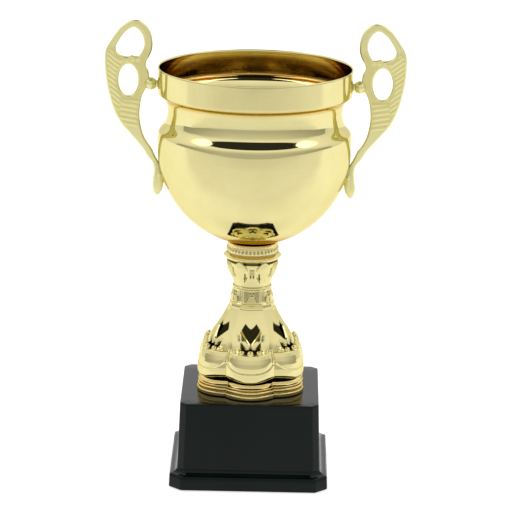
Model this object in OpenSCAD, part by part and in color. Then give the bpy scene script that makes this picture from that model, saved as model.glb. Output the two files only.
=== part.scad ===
// Two-handled presentation cup: a spun bowl and two cast handles on a fluted stem and a square base.
// +X runs through the two handles, -Y is the front, +Z is up, and the felt rests on z = 0.

/* [Base] */
// Side of the square plinth
base_w = 80; // [79:0.5:83]
// Height of the base shell
base_h = 43.8; // [42:0.2:46]
// Height of the plinth's straight side
plinth_h = 6.8; // [6:0.2:8]
// Leg of the plinth's clipped corners
plinth_clip = 5.6; // [5:0.2:6.4]
// Radius of the cove between plinth and block
cove_r = 4.1; // [3.8:0.1:4.4]
// How far each side of the block leans in over its height
block_draft = 1.1; // [0.8:0.1:1.3]
// How far the felt stands below the plinth
felt_proud = 0.5; // [0.3:0.1:0.8]

/* [Stem] */
// Height of the foot casting, from the base to its ring at the waist
foot_h = 44.7; // [43:0.1:46]
// Height of the neck casting, from the waist to the gasket
neck_h = 30; // [29.5:0.1:31]
// Distance from the axis to each lobe's own centre
lobe_pitch_r = 14; // [13.6:0.1:14.2]
// Radius of each of the foot's lobes
lobe_r = 14.9; // [14.6:0.1:15.2]

/* [Bowl] */
// Outer radius of the rim band
rim_r = 48.8; // [48.2:0.1:49.4]
// Outer radius of the neck under the band
bowl_neck_r = 43.8; // [43:0.1:44.4]
// Depth of the bowl's rounded lower part
bowl_drop = 50; // [49:0.5:51]
// Height of the bowl from its seat to the rim
bowl_h = 89.9; // [89:0.1:91]
// Height of the straight rim band
band_h = 12.6; // [12:0.2:13.4]
// Thickness of the spun metal
bowl_wall = 0.9; // [0.7:0.1:1.2]

/* [Handles] */
// Thickness of each handle plate without its relief
handle_t = 2.6; // [2.2:0.1:3.2]
// Height of the raised ribs on each face
relief_t = 0.35; // [0.2:0.05:0.5]
// Radius of the ball that stands the handle off the rim band
ball_r = 3.2; // [3:0.1:3.4]

/* [Hardware] */
// Diameter of the centre rod
rod_d = 6; // [5:0.5:6]
// Diameter of the handle screws
screw_d = 3; // [2.5:0.5:3]

/* [Hidden] */
$fn = 96;

// Number of lobes, leaves and bells round the stem
lobes = 6;

// Clearances and the amount a cutting tool runs past a face
rod_clear = 0.3;
screw_clear = 0.2;
cut = 1;

// Base shell, from the plinth's underside
plinth_draft = 0.25;
ledge = 0.3;
// The cove is this much tighter across the clipped corners
corner_less = 0.35;
shell_floor = felt_proud;
base_top = felt_proud + base_h;
block_half = base_w / 2 - plinth_draft - ledge - cove_r;
corner_reach = (base_w - plinth_clip) / sqrt(2);
top_plate_t = 2.6;
cavity_half = block_half - block_draft - 2;
rebate_half = base_w / 2 - 2.6;
rebate_top = 3.5;
boss_r = 8;
boss_h = 5.4;
rib_t = 1.6;
post_r = 3.5;
post_at = cavity_half - 3;

// Closing board, felt and ballast
felt_t = 1.5;
board_t = 2;
cover_half = rebate_half - 0.4;
cover_clip = 4;
ballast_half = 29.5;
ballast_h = 10;
ballast_bore_r = 14;
ballast_clip = 10.5;
board_screw_d = 2.9;
board_screw_l = 12;

// Standard hardware
washer_t = 1.2;
wide_washer_t = 1.6;
lock_washer_t = 1.5;
nut_af = 10;
nut_h = 5;
rod_spare = 3;
gasket_t = 0.8;
gasket_r = 11;
handle_washer_t = 0.5;
washer_gap = 0.15;
handle_boss_h = 4.3;

// Height of the moulded ring under the lobed casting, and how far the lobes hang clear of it
ring_h = 9.6;
undercut = 0.4;

// Heights of the main joints
boss_end = base_top - top_plate_t - boss_h;
waist_z = base_top + foot_h;
neck_top = waist_z + neck_h;
bowl_z = neck_top + gasket_t;
rod_low = boss_end - wide_washer_t - lock_washer_t - nut_h - rod_spare;
rod_high = bowl_z + bowl_wall + washer_t + nut_h + rod_spare;

// Bowl seat and the two heights where each handle is screwed on, above the seat
seat_r = 12;
upper_screw_h = 80.7;
lower_screw_h = 34.8;
belly_r = rim_r - 0.1;
band_low = bowl_h - band_h;

// Profiles and outlines ------------------------------------------------------------------------

// A square with clipped corners
module clipped_square(half, clip) {
    intersection() {
        square(2 * half, center = true);
        rotate(45) square((2 * half - clip) * sqrt(2), center = true);
    }
}

// The base in section, w from the axis at its foot: plinth, cove of radius r and leaning block
module base_section(w, r) {
    plinth_w = w - plinth_draft;
    block_w = plinth_w - ledge - r;
    polygon([[-w, 0], [w, 0], [plinth_w, plinth_h], [-plinth_w, plinth_h]]);
    polygon([[-block_w, 0], [block_w, 0], [block_w, plinth_h + r],
        [block_w - block_draft, base_h], [block_draft - block_w, base_h], [-block_w, plinth_h + r]]);
    difference() {
        translate([-block_w - r, 0]) square([2 * (block_w + r), plinth_h + r]);
        for (side = [-1, 1]) translate([side * (block_w + r), plinth_h + r]) circle(r);
    }
}

// A long bar of that section, turned about the axis
module base_bar(w, r, turn) {
    rotate([90, 0, turn]) linear_extrude(2 * base_w, center = true) base_section(w, r);
}

// Radius of the bowl's rounded lower part at height h above the seat, for metal inset by t
function belly(h, t) = (belly_r - t) * sqrt(1 - pow((bowl_drop - h) / (bowl_drop - t), 2));

// The bowl in section, from the edge of its seat to the rim, for metal inset by t
function bowl_side(t) = concat(
    [for (a = [14:4:90]) [(belly_r - t) * sin(a), bowl_drop - (bowl_drop - t) * cos(a)]],
    [[belly_r - t, bowl_drop + 6.5], [belly_r - 0.7 - t, bowl_drop + 8.8]],
    [[belly_r - 3 - t, bowl_drop + 12], [bowl_neck_r + 0.3 - t, bowl_drop + 14.5]],
    [[bowl_neck_r - t, bowl_drop + 17], [bowl_neck_r + 0.5 - t, bowl_drop + 20.5]],
    [[bowl_neck_r + 1.6 - t, band_low - 3.6], [rim_r - 2 - t, band_low - 1.4]],
    [[rim_r - 0.3 - t, band_low - 0.2], [rim_r - t, band_low], [rim_r - t, bowl_h - 0.3]]);

// The solid that fills the bowl's outside, used to fit the handles against it
module bowl_envelope() {
    translate([0, 0, bowl_z]) rotate_extrude()
        polygon(concat([[0, 0], [seat_r - 0.3, 0]], bowl_side(0), [[0, bowl_h - 0.3]]));
}

// A point on a smooth closed curve, a fraction f of the way from p[i] to the next point
function on_curve(p, i, f) =
    let (n = len(p), a = p[(i + n - 1) % n], b = p[i], c = p[(i + 1) % n], d = p[(i + 2) % n])
    b + f / 2 * ((c - a) + f * ((2 * a - 5 * b + 4 * c - d) + f * (3 * b - a - 3 * c + d)));

// A smooth closed curve through every point of p, in steps to each next point
function smooth_loop(p, steps) =
    [for (i = [0:len(p) - 1]) for (k = [0:steps - 1]) on_curve(p, i, k / steps)];

// Outline of the right handle: x from the cup's axis, y above the bowl's seat
handle_outline = [
    [59.4, 112.7], [56, 111.3], [53.4, 108.5], [51.9, 105], [51.4, 101.5], [51.7, 98], [53, 94.6],
    [54.4, 92], [54.7, 89.8], [53.6, 87.6], [53, 85], [53.2, 81], [55, 77.6], [56.6, 74], [57.5, 69],
    [57.7, 64], [57, 59], [55.8, 54.6], [53.9, 51], [51.6, 47.8], [49.8, 44], [47.6, 40],
    [45.8, 36], [45.2, 31.4], [46, 27], [47.4, 24.6], [49, 23.7], [50.4, 25.6], [51, 28.6],
    [50.6, 32.4], [50.2, 36.4], [51, 40.3], [53.8, 44], [56, 47.6], [59.6, 51.9], [63, 55.8],
    [66.2, 59.4], [69, 63.8], [71.2, 69], [73, 75], [74.4, 82], [75.1, 88.4], [75.1, 95],
    [74.2, 98.8], [72.4, 101.8], [69.8, 105.7], [67, 109.2], [63.4, 111.8]];
upper_hole = [
    [60.3, 108.9], [57.6, 106.8], [56, 103.6], [55.6, 100], [56.8, 96.4], [58.4, 94.5], [60.4, 94.4],
    [61.8, 94.9], [63.8, 94.1], [66.8, 94.7], [69.1, 96.4], [69.7, 98.8], [68.4, 101.8], [66, 105.4],
    [63, 108.2]];
lower_hole_at = [63.4, 82.4];
lower_hole_half = [4.9, 8];
lower_hole = [for (a = [0:15:345])
    [lower_hole_at[0] + lower_hole_half[0] * cos(a), lower_hole_at[1] + lower_hole_half[1] * sin(a)]];

module handle_face() {
    difference() {
        polygon(smooth_loop(handle_outline, 3));
        polygon(smooth_loop(upper_hole, 3));
        polygon(lower_hole);
    }
}

// Raised strokes on the handle's faces: a fan of feathers beside the oval hole and bars below it
module relief_lines() {
    feathers = 11;
    bars = 5;
    intersection() {
        offset(delta = -0.9) handle_face();
        union() {
            for (k = [0:feathers - 1])
                translate([66.6 + 0.32 * k, 70 + 2.5 * k]) rotate(38 - 2 * k)
                    translate([3, 0]) square([9, 0.9], center = true);
            for (k = [0:bars - 1])
                translate([64.3 - 0.5 * k, 70.5 - 2.4 * k]) rotate(-10) square([9, 0.9], center = true);
        }
    }
}

// Hardware -------------------------------------------------------------------------------------

module washer(outer_d, inner_d, t) {
    difference() {
        cylinder(h = t, d = outer_d);
        translate([0, 0, -cut]) cylinder(h = t + 2 * cut, d = inner_d);
    }
}

// A hexagon nut with its corners taken off top and bottom
module hex_nut() {
    corner_r = nut_af / 2 / cos(30);
    chamfer = 0.5;
    difference() {
        intersection() {
            cylinder(h = nut_h, r = corner_r, $fn = 6);
            rotate_extrude() polygon([[0, 0], [corner_r - chamfer, 0], [corner_r + 0.1, chamfer],
                [corner_r + 0.1, nut_h - chamfer], [corner_r - chamfer, nut_h], [0, nut_h]]);
        }
        translate([0, 0, -cut]) cylinder(h = nut_h + 2 * cut, d = rod_d);
    }
}

// A pan-head screw pointing along +Z, with the underside of its head at z = 0
module pan_screw(d, shank) {
    head_r = d;
    head_h = 0.62 * d;
    difference() {
        rotate_extrude() polygon([[0, -head_h], [head_r * 0.7, -head_h], [head_r, -head_h * 0.4],
            [head_r, 0], [d / 2, 0], [d / 2, shank - 0.4], [d / 2 - 0.4, shank], [0, shank]]);
        for (turn = [0, 90])
            rotate(turn) translate([0, 0, -head_h]) cube([head_r * 1.1, d * 0.22, head_h], center = true);
    }
}

// A countersunk screw pointing along +Z, with the face of its head at z = 0
module countersunk_screw(d, length) {
    rotate_extrude() polygon([[0, 0], [d * 0.95, 0], [d * 0.95, 0.2], [d / 2, d * 0.5], [d / 2, length - 2],
        [0.2, length], [0, length]]);
}

// Puts its children at the two screws of one handle, pointing out along the bowl's surface normal
module at_handle_screws() {
    lower_r = belly(lower_screw_h, bowl_wall);
    rise = bowl_drop - lower_screw_h;
    tilt = atan2(rise * (belly_r - bowl_wall), lower_r * (bowl_drop - bowl_wall));
    translate([rim_r - bowl_wall, 0, bowl_z + upper_screw_h]) rotate([0, 90, 0]) children();
    translate([lower_r, 0, bowl_z + lower_screw_h]) rotate([0, 90 + tilt, 0]) children();
}

module at_both_handles() {
    at_handle_screws() children();
    mirror([1, 0, 0]) at_handle_screws() children();
}

module at_posts() {
    for (x = [-post_at, post_at]) for (y = [-post_at, post_at]) translate([x, y, 0]) children();
}

// Base -----------------------------------------------------------------------------------------

module base_shell() {
    color([0.09, 0.12, 0.11]) difference() {
        union() {
            difference() {
                translate([0, 0, shell_floor]) intersection() {
                    base_bar(base_w / 2, cove_r, 0);
                    base_bar(base_w / 2, cove_r, 90);
                    base_bar(corner_reach, cove_r - corner_less, 45);
                    base_bar(corner_reach, cove_r - corner_less, -45);
                }
                translate([0, 0, shell_floor - cut])
                    linear_extrude(rebate_top - shell_floor + cut) clipped_square(rebate_half, 5);
                translate([0, 0, rebate_top - cut])
                    linear_extrude(base_top - top_plate_t - rebate_top + cut)
                        clipped_square(cavity_half, 3);
            }
            at_posts() translate([0, 0, rebate_top])
                cylinder(h = base_top - top_plate_t - rebate_top + 0.1, r = post_r);
            translate([0, 0, boss_end]) cylinder(h = boss_h + 0.1, r = boss_r);
            for (turn = [0, 90]) rotate(turn) translate([0, 0, boss_end + boss_h / 2 + 0.6])
                cube([2 * cavity_half + 0.4, rib_t, boss_h - 1], center = true);
        }
        translate([0, 0, boss_end - cut])
            cylinder(h = boss_h + top_plate_t + 2 * cut, d = rod_d + 2 * rod_clear);
        at_posts() translate([0, 0, rebate_top - cut])
            cylinder(h = board_screw_l + cut, d = board_screw_d);
    }
}

module ballast_weight() {
    color([0.55, 0.54, 0.5]) translate([0, 0, rebate_top]) difference() {
        linear_extrude(ballast_h) clipped_square(ballast_half, ballast_clip);
        translate([0, 0, -cut]) cylinder(h = ballast_h + 2 * cut, r = ballast_bore_r);
    }
}

module bottom_board() {
    color([0.45, 0.33, 0.2]) translate([0, 0, felt_t]) difference() {
        linear_extrude(board_t) clipped_square(cover_half, cover_clip);
        at_posts() countersunk_screw(board_screw_d, board_screw_l);
    }
}

module board_screws() {
    color([0.75, 0.75, 0.77]) translate([0, 0, felt_t])
        at_posts() countersunk_screw(board_screw_d, board_screw_l);
}

module felt_pad() {
    color([0.05, 0.06, 0.06]) linear_extrude(felt_t) clipped_square(cover_half, cover_clip);
}

// Stem -----------------------------------------------------------------------------------------

module round_the_stem(count, first = 0) {
    for (k = [0:count - 1]) rotate(first - 90 + 360 / count * k) children();
}

// One moulding of the lobed plan, grown or shrunk by grow
module lobed_slab(low, high, grow) {
    translate([0, 0, low]) {
        cylinder(h = high - low, r = lobe_pitch_r + 6);
        round_the_stem(lobes) translate([lobe_pitch_r, 0, 0])
            cylinder(h = high - low, r = lobe_r + grow);
    }
}

// A blunt spindle between two points given as [radius, angle, height]
module petal(low, high, r) {
    a = [low[0] * cos(low[1]), low[0] * sin(low[1]), low[2]];
    b = [high[0] * cos(high[1]), high[0] * sin(high[1]), high[2]];
    d = b - a;
    translate(a) rotate([0, acos(d[2] / norm(d)), atan2(d[1], d[0])])
        rotate_extrude($fn = 32) polygon([[0, -r], [r / 2, -r], [r, 0], [r, norm(d)], [r / 2, norm(d) + r],
            [0, norm(d) + r]]);
}

module foot_ring() {
    color([0.83, 0.74, 0.42]) translate([0, 0, base_top]) difference() {
        union() {
            lobed_slab(0, 2.4, 0);
            lobed_slab(2.3, 3.2, -0.9);
            lobed_slab(3.1, 4.5, -0.3);
            lobed_slab(4.4, 5, -1.3);
            lobed_slab(4.9, 5.8, -0.8);
            lobed_slab(5.7, 8, -2);
            lobed_slab(7.9, ring_h, -4.2);
        }
        translate([0, 0, -cut]) cylinder(h = ring_h + 2 * cut, r = lobe_pitch_r + 4);
    }
}

// The flare from the lobes up to the waist, in section
flare = [[0, ring_h], [23.6, ring_h], [24.6, 20], [24, 24.5], [22.4, 28], [20, 31], [17.6, 34],
    [15.4, 36.6], [13.6, 39], [12.3, 41.4], [11.4, 43.6]];
// The casting's hollow underside, in section
foot_hollow = [[0, ring_h - cut], [20, ring_h - cut], [20, 22], [17.6, 27], [12.6, 33.6], [8, 37],
    [0, 37]];

module stem_foot() {
    bead_angles = [-20, -10, 0, 10, 20];
    color([0.83, 0.74, 0.42]) translate([0, 0, base_top]) difference() {
        union() {
            rotate_extrude() polygon(concat(flare, [[11.4, foot_h], [0, foot_h]]));
            round_the_stem(lobes) intersection() {
                translate([lobe_pitch_r, 0, 11]) sphere(r = lobe_r - 0.3);
                translate([0, -lobe_r, ring_h + undercut]) cube([2 * lobe_r, 2 * lobe_r, 14]);
            }
            round_the_stem(lobes) for (a = bead_angles)
                rotate(a) translate([23.75, 0, 23.8 + 0.03 * abs(a)])
                    rotate([90, 0, 0]) sphere(r = 1.5, $fn = 32);
            round_the_stem(lobes) for (side = [-1, 1])
                petal([23.2, side * 3.4, 26.6], [16.7, side * 17, 35], 1.5);
            translate([0, 0, foot_h - 1])
                rotate_extrude() polygon([[0, 0], [11.2, 0], [11.9, 0.5], [11.2, 1], [0, 1]]);
        }
        translate([0, 0, -cut]) cylinder(h = foot_h + 2 * cut, d = rod_d + 2 * rod_clear);
        rotate_extrude() polygon(foot_hollow);
    }
}

// The neck casting in section, from the waist to the gasket
neck_side = [[0, 0], [11.2, 0], [11.5, 0.4], [11.1, 0.9], [10.6, 2.6], [10, 5.6], [9.6, 8], [10.4, 8.5],
    [10.4, 9.1], [9.5, 9.6], [9.5, 11.6], [10.2, 13.6], [11, 15.8], [11.9, 18], [12.4, 20],
    [12.4, 22.4], [13.6, 22.9], [14.2, 23.8], [14, 24.8], [12.4, 25.8], [12.4, 26.4], [13, 26.8],
    [13, 28.4], [12.2, 29.2], [11.9, 30], [0, 30]];

module stem_neck() {
    serrations = 36;
    color([0.85, 0.76, 0.44]) translate([0, 0, waist_z]) difference() {
        union() {
            scale(neck_h / 30) rotate_extrude() polygon(neck_side);
            round_the_stem(lobes) {
                translate([9.6, 0, 3.4]) sphere(r = 2, $fn = 32);
                translate([9.9, 0, 6.4]) sphere(r = 1, $fn = 32);
            }
            round_the_stem(lobes, 30) translate([11.2, 0, 18.6]) sphere(r = 2.2, $fn = 32);
            round_the_stem(serrations) translate([12.5, 0, 27.6]) sphere(r = 0.85, $fn = 24);
        }
        translate([0, 0, -cut]) cylinder(h = neck_h + 2 * cut, d = rod_d + 2 * rod_clear);
    }
}

module bowl_gasket() {
    color([0.2, 0.2, 0.2]) translate([0, 0, neck_top])
        washer(2 * gasket_r, rod_d + 2 * rod_clear, gasket_t);
}

// Bowl -----------------------------------------------------------------------------------------

module bowl() {
    inner = bowl_side(bowl_wall);
    lip = [[rim_r - 0.3, bowl_h], [rim_r - bowl_wall + 0.2, bowl_h]];
    inside_down = [for (i = [len(inner) - 1:-1:0]) inner[i]];
    color([0.88, 0.8, 0.5]) difference() {
        translate([0, 0, bowl_z]) rotate_extrude()
            polygon(concat([[0, 0], [seat_r - 0.3, 0]], bowl_side(0), lip, inside_down,
                [[seat_r - 1, bowl_wall], [0, bowl_wall]]));
        translate([0, 0, bowl_z - cut]) cylinder(h = bowl_wall + 2 * cut, d = rod_d + 2 * rod_clear);
        at_both_handles() translate([0, 0, -cut])
            cylinder(h = bowl_wall + 2 * cut, d = screw_d + 2 * screw_clear, $fn = 32);
    }
}

// Handles --------------------------------------------------------------------------------------

module handle() {
    difference() {
        union() {
            translate([0, 0, bowl_z]) rotate([90, 0, 0]) {
                linear_extrude(handle_t, center = true) handle_face();
                linear_extrude(handle_t + 2 * relief_t, center = true) relief_lines();
            }
            translate([rim_r + ball_r - 0.2, 0, bowl_z + upper_screw_h]) sphere(r = ball_r, $fn = 48);
            at_handle_screws() translate([0, 0, bowl_wall - 0.3])
                cylinder(h = handle_boss_h, r = 2.4, $fn = 48);
        }
        bowl_envelope();
        at_handle_screws() cylinder(h = bowl_wall + 3.4, d = screw_d, $fn = 32);
    }
}

module handle_right() {
    color([0.86, 0.79, 0.52]) handle();
}

module handle_left() {
    color([0.86, 0.79, 0.52]) mirror([1, 0, 0]) handle();
}

module handle_screws() {
    color([0.8, 0.8, 0.82]) at_both_handles() translate([0, 0, -handle_washer_t - washer_gap])
        pan_screw(screw_d, bowl_wall + 3.8);
}

module handle_washers() {
    color([0.8, 0.8, 0.82]) at_both_handles() translate([0, 0, -handle_washer_t - washer_gap])
        washer(2.3 * screw_d, screw_d + 0.4, handle_washer_t);
}

// Centre rod and its nuts ----------------------------------------------------------------------

module centre_rod() {
    chamfer = 0.6;
    color([0.72, 0.72, 0.74]) translate([0, 0, rod_low]) rotate_extrude()
        polygon([[0, 0], [rod_d / 2 - chamfer, 0], [rod_d / 2, chamfer],
            [rod_d / 2, rod_high - rod_low - chamfer], [rod_d / 2 - chamfer, rod_high - rod_low],
            [0, rod_high - rod_low]]);
}

module bowl_washer() {
    color([0.8, 0.8, 0.82]) translate([0, 0, bowl_z + bowl_wall])
        washer(2.6 * rod_d, rod_d + 0.4, washer_t);
}

module bowl_nut() {
    color([0.78, 0.78, 0.8]) translate([0, 0, bowl_z + bowl_wall + washer_t]) hex_nut();
}

module base_washer() {
    color([0.8, 0.8, 0.82]) translate([0, 0, boss_end - wide_washer_t])
        washer(3 * rod_d, rod_d + 0.4, wide_washer_t);
}

// A split ring, cut through at one side
module base_lock_washer() {
    color([0.7, 0.7, 0.72]) translate([0, 0, boss_end - wide_washer_t - lock_washer_t]) difference() {
        washer(11, rod_d + 0.2, lock_washer_t);
        translate([rod_d / 2, -0.4, -cut]) cube([5, 0.8, lock_washer_t + 2 * cut]);
    }
}

module base_nut() {
    color([0.78, 0.78, 0.8])
        translate([0, 0, boss_end - wide_washer_t - lock_washer_t - nut_h]) hex_nut();
}

base_shell();
ballast_weight();
bottom_board();
board_screws();
felt_pad();
foot_ring();
stem_foot();
stem_neck();
bowl_gasket();
bowl();
handle_right();
handle_left();
handle_screws();
handle_washers();
centre_rod();
bowl_washer();
bowl_nut();
base_washer();
base_lock_washer();
base_nut();
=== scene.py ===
import math

import bmesh
import bpy
import numpy as np
from mathutils import Matrix, Vector
from mathutils.geometry import delaunay_2d_cdt


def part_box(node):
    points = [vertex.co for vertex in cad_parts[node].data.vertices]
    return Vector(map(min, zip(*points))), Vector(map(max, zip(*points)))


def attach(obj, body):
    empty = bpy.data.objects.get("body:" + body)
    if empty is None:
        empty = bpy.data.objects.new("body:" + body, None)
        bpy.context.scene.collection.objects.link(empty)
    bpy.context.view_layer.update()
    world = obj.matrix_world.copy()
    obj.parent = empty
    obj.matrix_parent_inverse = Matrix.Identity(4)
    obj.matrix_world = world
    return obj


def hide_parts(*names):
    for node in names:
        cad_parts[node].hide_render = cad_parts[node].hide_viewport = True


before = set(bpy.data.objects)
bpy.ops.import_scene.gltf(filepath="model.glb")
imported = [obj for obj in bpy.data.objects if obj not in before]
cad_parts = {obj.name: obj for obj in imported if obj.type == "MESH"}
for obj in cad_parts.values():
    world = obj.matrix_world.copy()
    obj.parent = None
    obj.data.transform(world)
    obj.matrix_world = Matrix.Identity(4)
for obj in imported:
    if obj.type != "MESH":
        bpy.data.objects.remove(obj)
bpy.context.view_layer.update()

MM = 0.001
LOBES = 6


def top(node):
    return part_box(node)[1].z / MM


def low(node):
    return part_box(node)[0].z / MM


BASE_TOP = top("base_shell")
WAIST = top("stem_foot")
NECK_TOP = top("stem_neck")
BOWL = low("bowl")
RIM_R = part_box("bowl")[1].x / MM - 0.01
BASE_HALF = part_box("base_shell")[1].x / MM

# Node trees ---------------------------------------------------------------------------------


class Nodes:
    """A node tree with short calls for the few nodes the finishes need."""

    def __init__(self, tree):
        self.tree = tree

    def add(self, kind, inputs=(), **settings):
        node = self.tree.nodes.new(kind)
        for name, value in settings.items():
            setattr(node, name, value)
        for key, value in dict(inputs).items():
            if isinstance(value, bpy.types.NodeSocket):
                self.tree.links.new(value, node.inputs[key])
            else:
                node.inputs[key].default_value = value
        return node

    def math(self, operation, a, b=0.0, clamp=False):
        return self.add("ShaderNodeMath", {0: a, 1: b}, operation=operation, use_clamp=clamp).outputs[0]

    def ramp(self, value, stops, interpolation="LINEAR"):
        node = self.add("ShaderNodeValToRGB", {"Fac": value})
        ramp = node.color_ramp
        ramp.interpolation = interpolation
        while len(ramp.elements) < len(stops):
            ramp.elements.new(1.0)
        for element, (position, colour) in zip(ramp.elements, stops):
            element.position = position
            element.color = (*colour, 1) if len(colour) == 3 else colour
        return node.outputs["Color"]

    def grey(self, value, stops, interpolation="LINEAR"):
        return self.ramp(value, [(at, (level,) * 3) for at, level in stops], interpolation)

    def mix(self, factor, a, b, blend="MIX"):
        return self.add("ShaderNodeMix", {0: factor, 6: a, 7: b}, data_type="RGBA", blend_type=blend).outputs[2]

    def noise(self, vector, scale, detail=3.0, roughness=0.5):
        return self.add("ShaderNodeTexNoise", {"Vector": vector, "Scale": scale, "Detail": detail,
                                               "Roughness": roughness}).outputs["Fac"]

    def bump(self, height, distance, strength=1.0, normal=None):
        inputs = {"Height": height, "Distance": distance, "Strength": strength}
        if normal is not None:
            inputs["Normal"] = normal
        return self.add("ShaderNodeBump", inputs).outputs["Normal"]


def finish_of(name, metallic=0.0, ior=1.45, coat=0.0):
    material = bpy.data.materials.new(name)
    material.use_nodes = True
    nodes = Nodes(material.node_tree)
    shader = material.node_tree.nodes["Principled BSDF"]
    shader.inputs["Metallic"].default_value = metallic
    shader.inputs["IOR"].default_value = ior
    shader.inputs["Coat Weight"].default_value = coat
    place = nodes.add("ShaderNodeTexCoord").outputs["Object"]

    def plug(**sockets):
        for key, value in sockets.items():
            material.node_tree.links.new(value, shader.inputs[key.replace("_", " ")])

    return material, nodes, place, plug


def gold(name, pale, deep, wear_and_shade, rough, grain=0.0, spun=0.0, fleck=None):
    """Bright lacquered plating with faint handling haze: pale, mixed towards the deep colour by each piece's recess
    attribute, which holds painted shade on the castings and handles and painted reflection on the bowl.
    """
    material, n, place, plug = finish_of(name, metallic=1.0)
    recess = n.add("ShaderNodeAttribute", attribute_name="recess").outputs["Fac"]
    drift = n.noise(place, 45.0, 3.0)
    tint = n.mix(n.grey(drift, [(0.35, 0.0), (0.7, 1.0)]), pale, wear_and_shade)
    # Painted shade and painted reflection: the recess attribute mixes in the deep colour
    colour = n.mix(recess, tint, deep)
    plug(Specular_Tint=n.mix(recess, EDGE, deep))
    if fleck is not None:
        spots = n.grey(n.noise(place, 380.0, 4.0, 0.7), [(0.60, 0.0), (0.66, 0.7)])
        colour = n.mix(n.math("MULTIPLY", spots, recess), colour, fleck)
    haze = n.noise(place, 160.0, 5.0, 0.62)
    wiped = n.noise(n.add("ShaderNodeMapping", {"Vector": place, "Scale": (40, 40, 900)}).outputs[0], 1.0, 4.0)
    spread = n.math("MULTIPLY", n.math("ADD", haze, wiped), 0.5)
    plug(Base_Color=colour, Roughness=n.grey(spread, [(0.3, rough[0]), (0.7, rough[1])]))
    normal = None
    if spun:
        height = n.add("ShaderNodeSeparateXYZ", {0: place}).outputs["Z"]
        flow = n.noise(n.add("ShaderNodeCombineXYZ", {"Z": n.math("MULTIPLY", height, 1400.0)}).outputs[0], 1.0, 2.0)
        normal = n.bump(flow, spun)
    if grain:
        normal = n.bump(n.noise(place, 900.0, 3.0, 0.6), grain, 1.0, normal)
    if normal is not None:
        plug(Normal=normal)
    return material


PALE = (0.74, 0.67, 0.33, 1)
WORN = (0.70, 0.62, 0.29, 1)
# Near-black painted shade for the castings' hollows, grooves and insides
PAINTED_SHADE = (0.019, 0.017, 0.006, 1)
# Warm orange painted reflection for the bowl, standing in for gold reflecting gold
AMBER_REFLECTION = (0.58, 0.34, 0.05, 1)
EDGE = (0.88, 0.84, 0.62, 1)

bowl_gold = gold("bowl_gold", PALE, AMBER_REFLECTION, WORN, (0.03, 0.07), spun=0.000004)
# Painted reflection: the band's inner wall is orange and brown, with light flecks, as gold looks in its own reflections
inner_reflection_gold = gold("bowl_inner_gold", (0.76, 0.55, 0.16, 1), (0.33, 0.18, 0.04, 1), (0.66, 0.45, 0.12, 1), (0.06, 0.13),
                  spun=0.00001, fleck=(0.8, 0.6, 0.2, 1))
stem_gold = gold("stem_gold", (0.74, 0.66, 0.32, 1), PAINTED_SHADE, WORN, (0.06, 0.13), grain=0.000006)
# The mouldings' gold is more orange than the stem's: painted reflection standing in for gold's deeper colour in its own
# reflections
ring_reflected_gold = gold("ring_reflected_gold", (0.72, 0.51, 0.17, 1), PAINTED_SHADE, (0.74, 0.61, 0.26, 1), (0.07, 0.14), grain=0.000006)
handle_gold = gold("handle_gold", (0.84, 0.80, 0.41, 1), (0.76, 0.68, 0.28, 1), (0.80, 0.74, 0.36, 1), (0.30, 0.42),
                   grain=0.00002)


def black_plastic():
    material, n, place, plug = finish_of("base_plastic", ior=1.25)
    flow = n.noise(n.add("ShaderNodeMapping", {"Vector": place, "Scale": (30, 30, 8)}).outputs[0], 1.0, 4.0, 0.6)
    scuffs = n.noise(n.add("ShaderNodeMapping", {"Vector": place, "Scale": (60, 60, 700)}).outputs[0], 1.0, 5.0, 0.7)
    skin = n.noise(place, 2600.0, 2.0)
    plug(Base_Color=n.ramp(flow, [(0.3, (0.0008, 0.0035, 0.0026)), (0.7, (0.0028, 0.0068, 0.0055))]),
         Roughness=n.grey(scuffs, [(0.35, 0.07), (0.8, 0.22)]),
         Normal=n.bump(skin, 0.000004, 1.0, n.bump(flow, 0.00006)))
    return material


def steel(name, tone, rough):
    """Zinc-plated steel: clouded passivation and a fine turned grain."""
    material, n, place, plug = finish_of(name, metallic=1.0)
    cloud = n.noise(place, 220.0, 4.0)
    turned = n.noise(n.add("ShaderNodeMapping", {"Vector": place, "Scale": (300, 300, 2600)}).outputs[0], 1.0, 3.0)
    plug(Base_Color=n.ramp(cloud, [(0.3, tuple(0.82 * c for c in tone)), (0.5, tone), (0.75, (0.62, 0.60, 0.50))]),
         Roughness=n.grey(turned, [(0.3, rough), (0.75, rough + 0.2)]), Normal=n.bump(turned, 0.00001))
    return material


def cast_iron():
    material, n, place, plug = finish_of("ballast_iron", metallic=1.0)
    sand = n.noise(place, 700.0, 6.0, 0.7)
    rust = n.noise(place, 90.0, 5.0, 0.65)
    plug(Base_Color=n.ramp(rust, [(0.45, (0.16, 0.155, 0.15)), (0.62, (0.20, 0.12, 0.07)), (0.8, (0.28, 0.11, 0.04))]),
         Roughness=n.grey(sand, [(0.3, 0.45), (0.7, 0.8)]), Normal=n.bump(sand, 0.00012))
    return material


def fibre_board():
    material, n, place, plug = finish_of("board")
    fibre = n.noise(n.add("ShaderNodeMapping", {"Vector": place, "Scale": (900, 2400, 900)}).outputs[0], 1.0, 5.0, 0.7)
    fleck = n.noise(place, 350.0, 3.0)
    tone = n.ramp(fibre, [(0.3, (0.16, 0.085, 0.035)), (0.7, (0.36, 0.22, 0.11))])
    plug(Base_Color=n.mix(n.grey(fleck, [(0.55, 0.0), (0.72, 0.6)]), tone, (0.09, 0.05, 0.02, 1)),
         Roughness=n.grey(fibre, [(0.2, 0.7), (0.8, 0.92)]), Normal=n.bump(fibre, 0.00008))
    return material


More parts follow.
